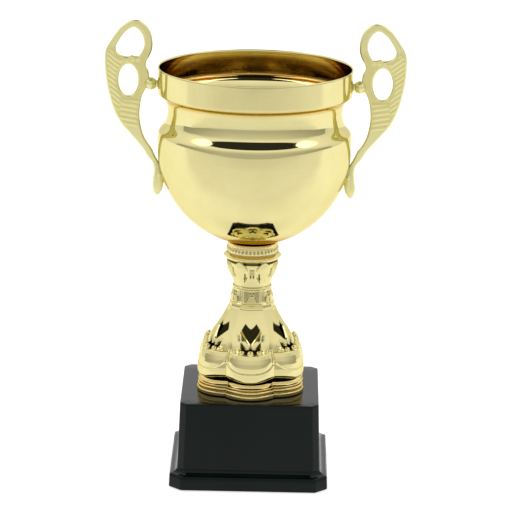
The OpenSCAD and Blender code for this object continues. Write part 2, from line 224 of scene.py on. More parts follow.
def felt_cloth():
    material, n, place, plug = finish_of("felt")
    nap = n.noise(place, 1800.0, 5.0, 0.75)
    matted = n.noise(place, 140.0, 3.0)
    tone = n.ramp(nap, [(0.3, (0.004, 0.006, 0.005)), (0.72, (0.022, 0.028, 0.025))])
    plug(Base_Color=n.mix(n.grey(matted, [(0.4, 0.0), (0.7, 0.5)]), tone, (0.03, 0.035, 0.032, 1)),
         Roughness=n.grey(nap, [(0.2, 0.88), (0.8, 1.0)]), Normal=n.bump(nap, 0.00025))
    return material


def rubber():
    material, n, place, plug = finish_of("gasket_rubber", ior=1.5)
    bloom = n.noise(place, 260.0, 4.0)
    plug(Base_Color=n.ramp(bloom, [(0.35, (0.012, 0.012, 0.012)), (0.75, (0.045, 0.043, 0.04))]),
         Roughness=n.grey(bloom, [(0.3, 0.55), (0.8, 0.85)]), Normal=n.bump(bloom, 0.00003))
    return material


base_plastic = black_plastic()
zinc = steel("zinc_steel", (0.60, 0.61, 0.62), 0.22)
rod_steel = steel("rod_steel", (0.52, 0.53, 0.54), 0.28)

# Mesh helpers -------------------------------------------------------------------------------


def shown(name, co, faces, materials, node, recess=None, second=None):
    """Makes one shown piece from points in millimetres and faces, standing for one CAD node."""
    mesh = bpy.data.meshes.new(name)
    mesh.from_pydata((np.asarray(co, float) * MM).tolist(), [], [tuple(map(int, f)) for f in faces])
    for material in materials:
        mesh.materials.append(material)
    mesh.polygons.foreach_set("use_smooth", [True] * len(mesh.polygons))
    if second is not None:
        mesh.polygons.foreach_set("material_index", np.asarray(second, np.int32))
    # The recess attribute holds the painted shade of the castings and handles and the painted reflection of the bowl,
    # zero where none is given
    layer = mesh.attributes.new("recess", "FLOAT", "POINT")
    layer.data.foreach_set("value", np.zeros(len(co), np.float32) if recess is None else np.asarray(recess, np.float32))
    mesh.update()
    piece = bpy.data.objects.new(name, mesh)
    bpy.context.scene.collection.objects.link(piece)
    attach(piece, "root")
    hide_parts(node)
    return piece


def ring_faces(rows, cols, closed=True):
    r = np.arange(rows if closed else rows - 1)[:, None]
    c = np.arange(cols)[None, :]
    up, on = (r + 1) % rows, (c + 1) % cols
    return np.stack([r * cols + c, r * cols + on, up * cols + on, up * cols + c], -1).reshape(-1, 4)


def turned(radius, height, cols):
    """Points of rows of rings; column 0 faces the front and the columns run towards +X."""
    turn = np.arange(cols) * 2 * math.pi / cols
    height = np.asarray(height, float)
    if height.ndim == 1:
        height = height[:, None]
    radius, height = (np.broadcast_to(part, (len(height), cols)) for part in (radius, height))
    return np.stack([radius * np.sin(turn), -radius * np.cos(turn), height], -1).reshape(-1, 3)


def capped(rows, cols):
    """Faces of a turned solid with a flat face at each end."""
    ends = [tuple(range(cols - 1, -1, -1)), tuple(range((rows - 1) * cols, rows * cols))]
    return [*map(tuple, ring_faces(rows, cols, closed=False)), *ends]


def rounded(points, reach, steps=4):
    """An open profile with each corner turned into a short curve that starts at most reach away."""
    p = np.asarray(points, float)
    out = [p[0]]
    for a, b, c in zip(p[:-2], p[1:-1], p[2:]):
        before, after = a - b, c - b
        la, lc = np.linalg.norm(before), np.linalg.norm(after)
        s = b + before / la * min(reach, 0.48 * la)
        e = b + after / lc * min(reach, 0.48 * lc)
        for t in np.linspace(0, 1, steps + 1):
            out.append((1 - t) ** 2 * s + 2 * t * (1 - t) * b + t * t * e)
    out.append(p[-1])
    return np.array(out)


def flowing(points, steps):
    """A smooth open curve through every point."""
    p = np.asarray(points, float)
    ends = np.vstack([2 * p[0] - p[1], p, 2 * p[-1] - p[-2]])
    t = np.linspace(0, 1, steps, endpoint=False)[:, None]
    out = []
    for a, b, c, d in zip(ends[:-3], ends[1:-2], ends[2:-1], ends[3:]):
        out.append(b + t / 2 * ((c - a) + t * ((2 * a - 5 * b + 4 * c - d) + t * (3 * b - a - 3 * c + d))))
    return np.vstack([*out, p[-1:]])


def spaced(points, step):
    """The same curve with points every step along it."""
    p = np.asarray(points, float)
    along = np.concatenate([[0], np.cumsum(np.linalg.norm(np.diff(p, axis=0), axis=1))])
    keep = np.concatenate([[True], np.diff(along) > 1e-9])
    at = np.linspace(0, along[-1], max(2, int(round(along[-1] / step)) + 1))
    return np.stack([np.interp(at, along[keep], p[keep, k]) for k in range(2)], 1)


def step_between(x, a, b):
    t = np.clip((x - a) / (b - a), 0, 1)
    return t * t * (3 - 2 * t)


def span(x, a, b, c, d):
    """1 from b to c, easing to 0 at a and at d."""
    return step_between(x, a, b) * (1 - step_between(x, c, d))


def hump(x, width):
    return np.exp(-(x / width) ** 2)


def lobe_angle(cols, first=0.0):
    """Signed angle in degrees from the middle of the nearest lobe, for each column."""
    turn = np.arange(cols) * 360 / cols - first
    half = 180 / LOBES
    return (turn + half) % (2 * half) - half


def lobed(reach, a):
    """Radius of the six-lobed plan whose lobes have radius reach."""
    pitch = 14.0
    side = np.maximum(reach ** 2 - (pitch * np.sin(np.radians(a))) ** 2, 0.01)
    return pitch * np.cos(np.radians(a)) + np.sqrt(side)


def soft_max(a, b, blend):
    return 0.5 * (a + b + np.sqrt((a - b) ** 2 + blend ** 2))


def ball(centre, radius, cols=20, rows=10):
    """Points and faces of a closed ball."""
    lat = np.linspace(-90, 90, rows + 1)[1:-1]
    ring = turned(radius * np.cos(np.radians(lat))[:, None], radius * np.sin(np.radians(lat)), cols)
    co = np.vstack([ring, [[0, 0, -radius]], [[0, 0, radius]]]) + np.asarray(centre)
    faces = [tuple(f) for f in ring_faces(len(lat), cols, closed=False)]
    south, north, last = len(ring), len(ring) + 1, (len(lat) - 1) * cols
    for k in range(cols):
        faces.append((south, (k + 1) % cols, k))
        faces.append((north, last + k, last + (k + 1) % cols))
    return co, faces


def joined(parts):
    """Several (points, faces) as one."""
    co, faces, start = [], [], 0
    for points, part in parts:
        co.append(points)
        faces.extend(tuple(int(i) + start for i in f) for f in part)
        start += len(points)
    return np.vstack(co), faces


# Bowl ---------------------------------------------------------------------------------------

# DROP is the height of the belly's widest ring over the bowl's seat
DROP, BELLY_R, NECK_R, BAND_LOW, BOWL_H, WALL = 50.0, RIM_R - 0.1, 43.8, 77.3, 89.9, 0.9

# Distance in from the belly's radius, or out from the neck's radius, and height over DROP
SHOULDER = ((0.01, 1.5), (0.07, 4.3), (0.2, 6.1), (0.48, 7.4), (0.98, 8.3), (1.7, 9.2), (2.55, 10.2), (3.35, 11.2),
            (4.0, 12.3))
THROAT = ((0.4, 14.1), (0.08, 16), (0, 18), (0.35, 20.6), (0.8, 22.3), (1.4, 23.8))


def bowl_curve(t):
    """The bowl's side from its seat to the top of the band, for metal inset by t."""
    a = np.radians(np.arange(13.9, 90.1, 0.9))
    belly = np.stack([(BELLY_R - t) * np.sin(a), DROP - (DROP - t) * np.cos(a)], 1)
    shoulder = [[BELLY_R - inward - t, DROP + rise] for inward, rise in SHOULDER]
    throat = [[NECK_R + outward - t, DROP + rise] for outward, rise in THROAT]
    ledge = rounded([throat[-1], [NECK_R + 2.3 - t, DROP + 25.2], [RIM_R - 0.5 - t, BAND_LOW - 0.8],
                     [RIM_R - t, BAND_LOW - 0.1], [RIM_R - t, BOWL_H - WALL / 2]], 0.7, 6)
    return np.vstack([belly, flowing(shoulder + throat, 8), ledge[1:]])


def make_bowl():
    a = np.radians(np.linspace(0, 180, 9))
    lip = np.stack([RIM_R - WALL / 2 + WALL / 2 * np.cos(a), BOWL_H - WALL / 2 + WALL / 2 * np.sin(a)], 1)
    seat = np.array([[3.4, 0.0], [6, 0], [9, 0], [11.4, 0]])
    floor = np.array([[11, WALL], [8.5, WALL], [6, WALL], [3.4, WALL]])
    outside = spaced(np.vstack([bowl_curve(0), lip[:5]]), 0.55)
    lining = spaced(np.vstack([lip[4:], bowl_curve(WALL)[::-1]]), 0.7)[1:]
    curve = np.vstack([seat, outside, lining, floor])
    r, h = curve[:, 0], curve[:, 1]
    lined_from = len(seat) + len(outside)
    # Painted reflection, a warm orange, round the seat, faintly under the band, and on the inner wall of the band
    painted_amber = np.maximum(1 - step_between(r, 17.5, 30), 0.42 * span(h, 72.9, 74.2, 76.9, 77.2))
    painted_amber[lined_from:] = 0.9 * span(h[lined_from:], 76, 77.5, 85.0, 87.2)
    cols = 256
    faces = ring_faces(len(curve), cols)
    row = np.arange(len(faces)) // cols
    # The inner band's faces take the painted reflection finish
    inner_band = (row > lined_from) & (h[row] > 75.6)
    shown("cup_bowl", turned(curve[:, :1], h + BOWL, cols), faces, [bowl_gold, inner_reflection_gold], "bowl",
          np.repeat(painted_amber, cols), inner_band)


make_bowl()

# Foot ring ----------------------------------------------------------------------------------


def make_foot_ring():
    tip, hole, top_h, cols = 14.9, 18.2, 9.6, 480
    side = rounded([[-0.5, 0], [0, 0.35], [0, 2.1], [-0.25, 2.45], [-1.1, 2.6], [-1.15, 2.95], [-0.5, 3.15],
                    [-0.3, 3.6], [-0.3, 4.2], [-0.6, 4.6], [-1.5, 4.75], [-1.5, 5.0], [-0.9, 5.1], [-0.75, 5.45],
                    [-0.95, 5.85], [-1.7, 6.0], [-2.2, 6.7], [-2.3, 7.6], [-2.9, 8.2], [-4.4, 8.4], [-5, top_h]],
                   0.3, 4)
    side = spaced(side, 0.14)
    a, h = lobe_angle(cols), side[:, 1]
    radius = np.array([lobed(tip + grow, a) for grow in side[:, 0]])
    co = turned(np.vstack([radius, np.full((2, cols), hole)]), np.concatenate([h, [top_h, 0]]) + BASE_TOP, cols)
    # Painted shade: dark on the top face under the lobed foot's skirt, in two grooves, and all over the ring's inside
    dark = 0.9 * step_between(h, 7.6, 8.4) + 0.55 * hump(h - 2.75, 0.22) + 0.5 * hump(h - 4.88, 0.2)
    recess = np.repeat(np.concatenate([np.clip(dark, 0, 1), [1, 1]]), cols)
    shown("foot_mouldings", co, ring_faces(len(h) + 2, cols), [ring_reflected_gold], "foot_ring", recess)


make_foot_ring()

# Lobed foot ---------------------------------------------------------------------------------


# Beads on one lobe: degrees from its middle, distance from the axis, radius
BEADS = ((-20.5, 22.6, 1.25), (-10.4, 24.15, 1.5), (0, 25.15, 1.7), (10.4, 24.15, 1.5), (20.5, 22.6, 1.25))
BEAD_H = 23.7
BORE = 3.4  # radius of the castings' hole for the rod


def make_stem_foot():
    cols = 504
    top_h = WAIST - BASE_TOP
    a = lobe_angle(cols)[None, :]
    side = np.abs(a)
    h = np.arange(9.7, top_h + 1e-6, 0.2)
    h[-1] = top_h
    h = h[:, None]
    reach = np.interp(h, [9.7, 10.2, 11, 12.5, 15, 17, 19, 21, 22.6, 23.0, 23.5, 24.4, 26, 28],
                      [14.1, 14.6, 14.85, 14.9, 14.75, 14.45, 14.0, 13.3, 12.6, 12.2, 10.9, 10.2, 8.4, 5.5])
    flare = flowing([[21, 9.7], [21.5, 20], [21.7, 23.6], [21.4, 25.6], [20.6, 27.8], [19.2, 30], [17.6, 32.3],
                     [16, 34.7], [14.5, 37.2], [13.1, 39.8], [12.0, 42.1], [11.3, 43.8], [11.0, top_h]], 6)
    flare = np.interp(h, flare[:, 1], flare[:, 0])
    facet = math.cos(math.radians(15)) / np.cos(np.radians(side - 15)) * 1.02
    flare = flare * (1 + (facet - 1) * step_between(h, 27, 32))
    r = soft_max(lobed(reach, a) - 9 * step_between(h, 23.6, 30), flare, 0.8)
    x = r * np.sin(np.radians(a))
    # Cushion set in a frame that dips at the middle of each lobe, and a crease between the lobes
    above = h - (14.3 + 4.4 * (side / 29) ** 3.2)
    r = r - 0.55 * step_between(above, -0.5, 0.25) * (1 - step_between(h, 22.6, 23.4))
    crown = np.clip(above / 2.5, 0, 1) ** 0.6 * np.cos(np.radians(side * 2.6))
    r = r + 0.45 * crown * (1 - step_between(h, 23.0, 23.6))
    r = r - 0.5 * hump(side - 30, 1.1) * span(h, 17.5, 19, 23, 26)
    # Straps beside each pair of petals, the hollow between them, and the plain strip between the lobes
    strap_at = np.interp(h, [20, 24, 29, 33, 37], [20.5, 20, 21.5, 25, 30])
    strap = step_between(7.2 - np.abs(side - strap_at), 0, 2.4) * span(h, 23, 24.6, 24.6, 29)
    roof = np.interp(side, [0, 5, 11, 16, 20, 22], [34.4, 35.2, 36.7, 34.2, 31, 28])
    hollow = step_between(roof - h, 0, 0.7) * step_between(h, 22.9, 23.5)
    hollow = hollow * (1 - step_between(side, strap_at - 7.6, strap_at - 6))
    strip = span(h, 24.2, 25.4, 31.5, 34) * step_between(side, strap_at + 6.5, strap_at + 8)
    r = r + 0.28 * strap - 0.8 * hollow - 0.12 * strip
    # Petals, each a rounded bar that leans outwards from the middle of its lobe
    root_x, root_h, tip_x, tip_h, tall = 1.75, 26.6, 6.4, 32.4, 1.05
    along = np.array([tip_x - root_x, (tip_h - root_h) * tall])
    px, ph = np.abs(x) - root_x, (h - root_h) * tall
    t = np.clip((px * along[0] + ph * along[1]) / (along @ along), 0, 1)
    away = np.sqrt((px - t * along[0]) ** 2 + (ph - t * along[1]) ** 2)
    petal = step_between(1.95 - away, 0, 1.0)
    r = r + 0.85 * petal * hollow
    # Painted shade: the hollow between the petals is dark wherever no petal stands
    shade = np.clip(hollow * (1 - step_between(petal, 0.0, 0.3)), 0, 1)
    # Groove under the waist, and the skirt's wavy lower edge
    r = r - 0.25 * hump(h - (top_h - 1.6), 0.25)
    rows = h + (-0.45 + 1.3 * step_between(side, 4, 27)) * (1 - step_between(h, 10.5, 15))
    # The casting is hollow below, with a bore for the rod
    flat = np.ones(cols)
    within = ((BORE, 36.0), (12.5, 33.0), (20.0, 22.0), (20.0, 10.6))
    radius = np.vstack([*(at * flat for at, _ in within), r[0] - 0.5, r, BORE * flat])
    height = np.vstack([*(z * flat for _, z in within), rows[0] - 0.15, rows, top_h * flat])
    # Painted shade all over the inside of the casting and its bore
    recess = np.vstack([np.ones((len(within) + 1, cols)), shade, np.ones((1, cols))])
    parts = [(turned(radius, height + BASE_TOP, cols), ring_faces(len(radius), cols))]
    for lobe in range(LOBES):
        for off, seat, size in BEADS:
            turn = math.radians(lobe * 60 + off)
            parts.append(ball((seat * math.sin(turn), -seat * math.cos(turn), BASE_TOP + BEAD_H), size))
    co, faces = joined(parts)
    shade = np.concatenate([recess.ravel(), np.zeros(len(co) - recess.size)])
    shown("lobed_foot", co, faces, [stem_gold], "stem_foot", shade)


make_stem_foot()

# Neck casting -------------------------------------------------------------------------------


def make_stem_neck():
    cols, drawn_h, collar_h = 480, 30, 29.45
    scale = (NECK_TOP - WAIST) / drawn_h
    side = rounded([[11.0, 0], [11.4, 0.35], [11.2, 0.8], [10.7, 1.1], [10.4, 2.6], [10.0, 4.5], [9.7, 6.4],
                    [9.5, 7.9], [10.0, 8.4], [10.0, 9.0], [9.4, 9.5], [9.5, 11], [9.8, 13], [10.3, 15],
                    [10.9, 17], [11.5, 19], [12.0, 21], [12.3, 22.7], [13.5, 23.2], [14.25, 24.1], [14.1, 25.1],
                    [13.4, 25.8], [12.6, 26.2], [12.6, 26.5], [12.9, 26.8], [12.9, 28.4], [12.6, 29.1],
                    [12.35, 29.7], [12.3, 30.8], [12.15, 31.4], [11.95, 31.6], [11.8, 31.4], [11.8, drawn_h],
                    [11.5, drawn_h]], 0.35, 4)
    side = spaced(side, 0.2)
    a = lobe_angle(cols)[None, :]
    other = np.abs(lobe_angle(cols, 30.0))[None, :]
    r, h = side[:, :1] * np.ones((1, cols)), side[:, 1:]
    ax = np.abs(r * np.sin(np.radians(a)))
    # Bells round the waist, with a groove and a raised panel at each side
    bell = step_between(np.interp(h, [1.4, 2.2, 3.6, 4.8, 5.6], [3.3, 2.8, 2.1, 1.6, 0.2]) - ax, -0.15, 0.7)
    bell = bell * span(h, 1.3, 1.9, 5.2, 5.9)
    r = r + 1.3 * bell * np.sqrt(np.clip(1 - (ax / 4.2) ** 2, 0, 1))
    # Painted shade beside each bell
    shade = 0.28 * step_between(4.2 - ax, 0, 0.6) * span(h, 1.4, 2.0, 6.6, 7.4) * (1 - bell)
    r = r - 0.35 * hump(ax - 4.3, 0.35) * span(h, 1.2, 2, 7, 7.8)
    r = r + 0.3 * step_between(ax, 3.2, 4.2) * span(h, 1.3, 2, 6.8, 7.7)
    # Two round dots over each bell, and two slots in the middle of each forked band, each with painted shade
    for spot_x, spot_h, wide, tall in ((0.8, 6.4, 0.42, 0.42), (0.72, 15.2, 0.34, 0.8)):
        dot = np.exp(-((ax - spot_x) / wide) ** 2 - ((h - spot_h) / tall) ** 2)
        r = r - 0.4 * dot
        shade = np.maximum(shade, np.clip(dot * 1.5, 0, 1))
    # Big leaves between the lobes, and a forked band with a pocket and an arch between them
    width = np.interp(h, [9.8, 12, 15, 18, 20, 21.4, 22.3, 22.9], [0.3, 1.9, 3.2, 3.9, 3.9, 3.3, 2.2, 0.4])
    leaf = step_between(width - np.abs(r * np.sin(np.radians(other))), -0.1, 0.9) * step_between(h, 10, 13)
    r = r + (0.1 + np.interp(h, [10.5, 12.5, 15, 17.5, 20, 22.5], [0, 0.3, 0.95, 1.35, 1.25, 0.7])) * leaf
    fork_at = np.interp(h, [12, 15, 17.2, 19, 22.4], [2.0, 1.9, 2.0, 2.9, 5.6])
    fork = step_between(0.9 - np.abs(ax - fork_at), -0.3, 0.6) * span(h, 12.0, 16.5, 22.0, 22.6)
    pocket = step_between(1.35 - ax, -0.1, 0.35) * span(h, 16.2, 16.6, 18.6, 19.2)
    arch = step_between(np.interp(h, [20.4, 22.6], [2.6, 4.9]) - ax, -0.2, 0.6) * span(h, 21.3, 21.8, 22.7, 23.0)
    r = r + 0.22 * fork * (1 - leaf) - 0.35 * pocket - 0.9 * arch
    # Serrated ring, and painted shade in the turned grooves
    teeth = 0.5 + 0.5 * np.cos(np.arange(cols) * 2 * math.pi / cols * 40)
    notch = span(h, 27.4, 28.0, 29.1, 29.5) * (1 - teeth) ** 2
    r = r - 0.45 * notch
    groove_shade = [0.45 * hump(h - at, 0.2) for at in (8.15, 9.35, 22.95, 26.25)]
    # Painted shade in the pocket, under the arch below the flared ring, between the teeth and in the grooves; the bore
    # is painted dark all over
    for dark in (0.35 * pocket, 0.9 * arch, 0.5 * notch, *groove_shade):
        shade = np.maximum(shade, dark)
    h = h[:, 0]
    co = turned(np.vstack([r, np.full((2, cols), BORE)]), np.concatenate([h, [drawn_h, 0]]) * scale + WAIST, cols)
    collar = np.repeat(np.concatenate([h > collar_h, [False, False]]), cols)
    shown("neck_casting", co, ring_faces(len(h) + 2, cols), [stem_gold, ring_reflected_gold], "stem_neck",
          np.vstack([shade, np.ones((2, cols))]).ravel(), collar)


make_stem_neck()

# Handles ------------------------------------------------------------------------------------

# The right handle: distance from the cup's axis and height over the bowl's seat
OUTLINE = [
    [59.4, 112.7], [56, 111.3], [53.4, 108.5], [51.9, 105], [51.4, 101.5], [51.7, 98], [53, 94.6],
    [54.4, 92], [54.7, 89.8], [53.6, 87.6], [53, 85], [53.2, 81], [55, 77.6], [56.6, 74], [57.5, 69],
    [57.7, 64], [57, 59], [55.8, 54.6], [53.9, 51], [51.6, 47.8], [49.8, 44], [47.6, 40],
    [45.8, 36], [45.2, 31.4], [46, 27], [47.4, 24.6], [49, 23.7], [50.4, 25.6], [51, 28.6],
    [50.6, 32.4], [50.2, 36.4], [51, 40.3], [53.8, 44], [56, 47.6], [59.6, 51.9], [63, 55.8],
    [66.2, 59.4], [69, 63.8], [71.2, 69], [73, 75], [74.4, 82], [75.1, 88.4], [75.1, 95],
    [74.2, 98.8], [72.4, 101.8], [69.8, 105.7], [67, 109.2], [63.4, 111.8]]
UPPER_HOLE = [
    [60.3, 108.9], [57.6, 106.8], [56, 103.6], [55.6, 100], [56.8, 96.4], [58.4, 94.5], [60.4, 94.4],
    [61.8, 94.9], [63.8, 94.1], [66.8, 94.7], [69.1, 96.4], [69.7, 98.8], [68.4, 101.8], [66, 105.4],
    [63, 108.2]]
OVAL_AT, OVAL_HALF = np.array([63.4, 82.4]), np.array([4.9, 8.0])
# Bumps between the two holes, and the heights of the stub at the band and of the foot at the belly
BUMPS = ((58.6, 93.2), (61.4, 93.2), (64.2, 92.9), (66.8, 92.6))
STUB_H, FOOT_H = 80.7, 34.8


def looped(points, spacing):
    """A smooth closed curve through every point, with even spacing."""
    p = np.asarray(points, float)
    t = np.linspace(0, 1, 10, endpoint=False)[:, None]
    out = []
    for k in range(len(p)):
        a, b, c, d = (p[(k + j) % len(p)] for j in (-1, 0, 1, 2))
        out.append(b + t / 2 * ((c - a) + t * ((2 * a - 5 * b + 4 * c - d) + t * (3 * b - a - 3 * c + d))))
    out = np.vstack([*out, out[0][:1]])
    return spaced(out, spacing)[:-1]


def inside(points, loop):
    """Which points lie inside a closed loop."""
    a, b = loop, np.roll(loop, -1, axis=0)
    hit = np.zeros(len(points), bool)
    for (ax, ay), (bx, by) in zip(a, b):
        crosses = (ay > points[:, 1]) != (by > points[:, 1])
        with np.errstate(divide="ignore", invalid="ignore"):
            hit ^= crosses & (points[:, 0] < (bx - ax) * (points[:, 1] - ay) / (by - ay) + ax)
    return hit


def distance_to(points, loop):
    """Distance from each point to a closed loop."""
    best = np.full(len(points), 1e9)
    for a, b in zip(loop, np.roll(loop, -1, axis=0)):
        d = b - a
        t = np.clip((points - a) @ d / (d @ d), 0, 1)
        best = np.minimum(best, np.linalg.norm(points - a - t[:, None] * d, axis=1))
    return best


def handle_relief(p, edge):
    """Height of the cast pattern on a handle's face, 0 to 1."""
    x, z = p[:, 0], p[:, 1]
    off_oval = step_between(np.linalg.norm((p - OVAL_AT) / (OVAL_HALF + 1.2), axis=1), 0.98, 1.1)
    # Feathers sweep up and out along the outer band, bars lie across the blade below the oval
    outer_band = step_between(x, 66.6, 68.0)
    feather = 0.5 + 0.5 * np.cos(2 * math.pi * (z - 0.75 * (x - 66.0)) / 2.45)
    feather = feather * outer_band * span(z, 66, 70, 96, 99)
    bars = 0.5 + 0.5 * np.cos(2 * math.pi * (z - 0.16 * (x - 62)) / 2.5)
    bars = bars * (1 - outer_band) * span(z, 57.5, 60, 71.5, 73.2)
    bumps = sum(hump(np.hypot(x - bump_x, z - bump_z), 0.95) for bump_x, bump_z in BUMPS)
    pattern = (0.85 * feather + 0.75 * bars) * step_between(edge, 1.0, 1.7) * off_oval
    return pattern + 0.7 * bumps * step_between(edge, 0.4, 1.0)


def handle_plate():
    """Both faces and the rim of the right handle, and how much painted shade each point takes.

    x is from the cup's axis and z from the bowl's seat.
    """
    thick, soft, highest, pitch = 1.3, 0.75, 1.64, 0.36
    oval = np.radians(np.arange(0, 360, 5))
    loops = [looped(OUTLINE, 0.45), looped(UPPER_HOLE, 0.45),
             OVAL_AT + OVAL_HALF * np.stack([np.cos(oval), np.sin(oval)], 1)]

    def on_metal(points):
        return inside(points, loops[0]) & ~inside(points, loops[1]) & ~inside(points, loops[2])

    grid = np.array([(x + (k % 2) * pitch / 2, z) for k, z in enumerate(np.arange(23, 114, pitch * 0.87))
                     for x in np.arange(44, 76, pitch)])
    grid = grid[on_metal(grid)]
    edge = np.min([distance_to(grid, loop) for loop in loops], axis=0)
    grid, edge = grid[edge > 0.2], edge[edge > 0.2]
    seams, start = [], 0
    for loop in loops:
        seams += [(start + k, start + (k + 1) % len(loop)) for k in range(len(loop))]
        start += len(loop)
    points = np.vstack([*loops, grid])
    edge = np.concatenate([np.zeros(start), edge])
    flat, _, faces, *_ = delaunay_2d_cdt([Vector(p) for p in points.tolist()], seams, [], 0, 1e-5)
    assert len(flat) == len(points)
    faces = np.array(faces)
    faces = faces[on_metal(points[faces].mean(axis=1))]
    # Rounded edges, the cast pattern, a crowned loop at the top and a fuller foot
    x, z = points.T
    relief = handle_relief(points, edge)
    fall = np.clip(1 - edge / soft, 0, 1)
    bevel = soft * (1 - np.sqrt(np.clip(1 - fall ** 2, 0, 1)))
    upper = step_between(z, 97, 101)
    crown = 0.12 * np.sqrt(np.clip(edge / 2.4, 0, 1)) * upper
    paddle = 0.95 * (1 - step_between(z, 33, 42)) * np.sqrt(np.clip(edge / 2.2, 0, 1))
    height = np.minimum(thick - bevel + 0.34 * relief + crown, highest) + paddle
    # Painted shade: the flat ground of the blade, off the cast pattern and away from the edges, takes the deeper gold
    wear_and_shade = 0.8 * (1 - relief) * (edge > 1.0) * step_between(z, 57, 60) * (1 - upper)
    count = len(points)
    rim = [(b, a, a + count, b + count) for a, b in seams]
    skin = [*faces.tolist(), *(faces[:, ::-1] + count).tolist(), *rim]
    return np.vstack([np.stack([x, -height, z], 1), np.stack([x, height, z], 1)]), skin, np.tile(wear_and_shade, 2)


def make_handles():
    plate, skin, wear_and_shade = handle_plate()
    stub = ball((RIM_R + 3.35, 0, STUB_H), 3.2, 40, 24)
    collar = turned(np.array([1.9, 1.7, 1.7, 1.9])[:, None], [0, 0.4, 1.0, 4.0], 32)[:, [2, 0, 1]]
    collar = collar + [RIM_R + 0.03, 0, STUB_H]
    # The pad behind the foot stands square to the belly
    pad_r = BELLY_R * math.sqrt(1 - ((DROP - FOOT_H) / DROP) ** 2)
    tilt = math.atan2((DROP - FOOT_H) * BELLY_R, pad_r * DROP)
    outward = np.array([math.cos(tilt), 0, -math.sin(tilt)])
    across = np.array([math.sin(tilt), 0, math.cos(tilt)])
    pad = turned(np.array([2.4, 2.4, 2.0])[:, None], [0.05, 1.6, 2.2], 32)
    pad = pad[:, [2]] * outward + pad[:, [0]] * across + pad[:, [1]] * np.array([0, 1, 0]) + [pad_r, 0, FOOT_H]
    handle, faces = joined([(plate, skin), stub, (collar, capped(4, 32)), (pad, capped(3, 32))])
    shade = np.concatenate([wear_and_shade, np.zeros(len(handle) - len(wear_and_shade))])
    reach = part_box("handle_right")[1].x / MM
    for sign, node in ((1, "handle_right"), (-1, "handle_left")):
        co = np.minimum(handle + [0, 0, BOWL], [reach - 0.01, 1e3, top(node) - 0.01]) * [sign, 1, 1]
        piece = shown(f"cup_{node}", co, faces, [handle_gold], node, shade)
        shape = bmesh.new()
        shape.from_mesh(piece.data)
        bmesh.ops.recalc_face_normals(shape, faces=shape.faces)
        shape.to_mesh(piece.data)
        shape.free()


make_handles()

# Base ---------------------------------------------------------------------------------------


def squared(half, clip, ease, per_corner=5, along=7):
    """Points round a square with clipped corners, each of the eight corners eased by ease."""
    c = half - clip
    corners = np.array([[-c, -half], [c, -half], [half, -c], [half, c], [c, half], [-c, half], [-half, c], [-half, -c]])
    out = []
    for k in range(8):
        a, b, d = corners[k - 1], corners[k], corners[(k + 1) % 8]
        la, ld = np.linalg.norm(a - b), np.linalg.norm(d - b)
        s = b + (a - b) / la * min(ease, 0.45 * la)
        e = b + (d - b) / ld * min(ease, 0.45 * ld)
        t = np.linspace(0, 1, per_corner)[:, None]
        out.append((1 - t) ** 2 * s + 2 * t * (1 - t) * b + t * t * e)
        nxt = d + (b - d) / ld * min(ease, 0.45 * ld)
        t = np.linspace(0, 1, along + 2)[1:-1, None]
        out.append(e + (nxt - e) * t)
    return np.vstack(out)


def stacked(rings):
    """Points and faces of a closed skin through rings of (points, height)."""
    co = np.vstack([np.column_stack([ring, np.full(len(ring), z)]) for ring, z in rings])
    return co, ring_faces(len(rings), len(rings[0][0]))


def make_base():
    floor = low("base_shell")
    level = BASE_TOP - floor
    plinth_h, cove, draft, lean, clip = 6.8, 3.6, 0.25, 1.0, 6.0
    half, cove_top = BASE_HALF, plinth_h + cove
    block = half - draft - 0.3 - cove
    profile = [(half - 0.25, 0.0), (half - 0.05, 0.25), (half - 0.02, 0.7), (half - draft, plinth_h - 0.35),
               (half - draft - 0.1, plinth_h - 0.08), (half - draft - 0.32, plinth_h)]
    for a in np.radians(np.linspace(0, 90, 9)):
        profile.append((block + cove * (1 - math.sin(a)), plinth_h + cove * (1 - math.cos(a)) + 0.02))
    for t in np.linspace(0.06, 1, 12):
        profile.append((block - lean * t, cove_top + (level - 0.45 - cove_top) * t))
    profile += [(block - lean - 0.06, level - 0.2), (block - lean - 0.2, level - 0.06), (block - lean - 0.45, level)]
    rings = [(squared(w, clip - 2.6 * step_between(z, plinth_h, cove_top), 0.5), floor + z) for w, z in profile]
    plan = rings[-1][0]
    rings += [(squared(w, clip * w / 34, 0.5), BASE_TOP) for w in (30, 22, 14)]
    # The rod's hole through the boss, the underside of the deck, the cavity and the recess below it
    boss, hole, boss_low, deck_low, ledge = 8.0, 3.3, BASE_TOP - 8.0, BASE_TOP - 2.6, 3.5
    for r, z in ((boss, BASE_TOP), (hole, BASE_TOP), (hole, boss_low), (boss, boss_low), (boss, deck_low)):
        rings.append((plan / np.linalg.norm(plan, axis=1)[:, None] * r, z))
    cavity, recess = 32.25, 37.4
    for w, c, z in ((cavity - 1.0, 3, deck_low), (cavity, 3, deck_low - 0.8), (cavity, 3, ledge), (recess, 5, ledge),
                    (recess, 5, floor)):
        rings.append((squared(w, c, 0.3), z))
    post_at, post_low, post_top = cavity - 3, 3.6, BASE_TOP - 2.5
    post = turned(np.array([1.45, 3.5, 3.5, 1.45])[:, None], [post_low, post_low, post_top, post_top], 32)
    posts = [(post + [sx * post_at, sy * post_at, 0], ring_faces(4, 32)) for sx in (-1, 1) for sy in (-1, 1)]
    co, faces = joined([stacked(rings), *posts])
    shown("base_block", co, faces, [base_plastic], "base_shell")


make_base()


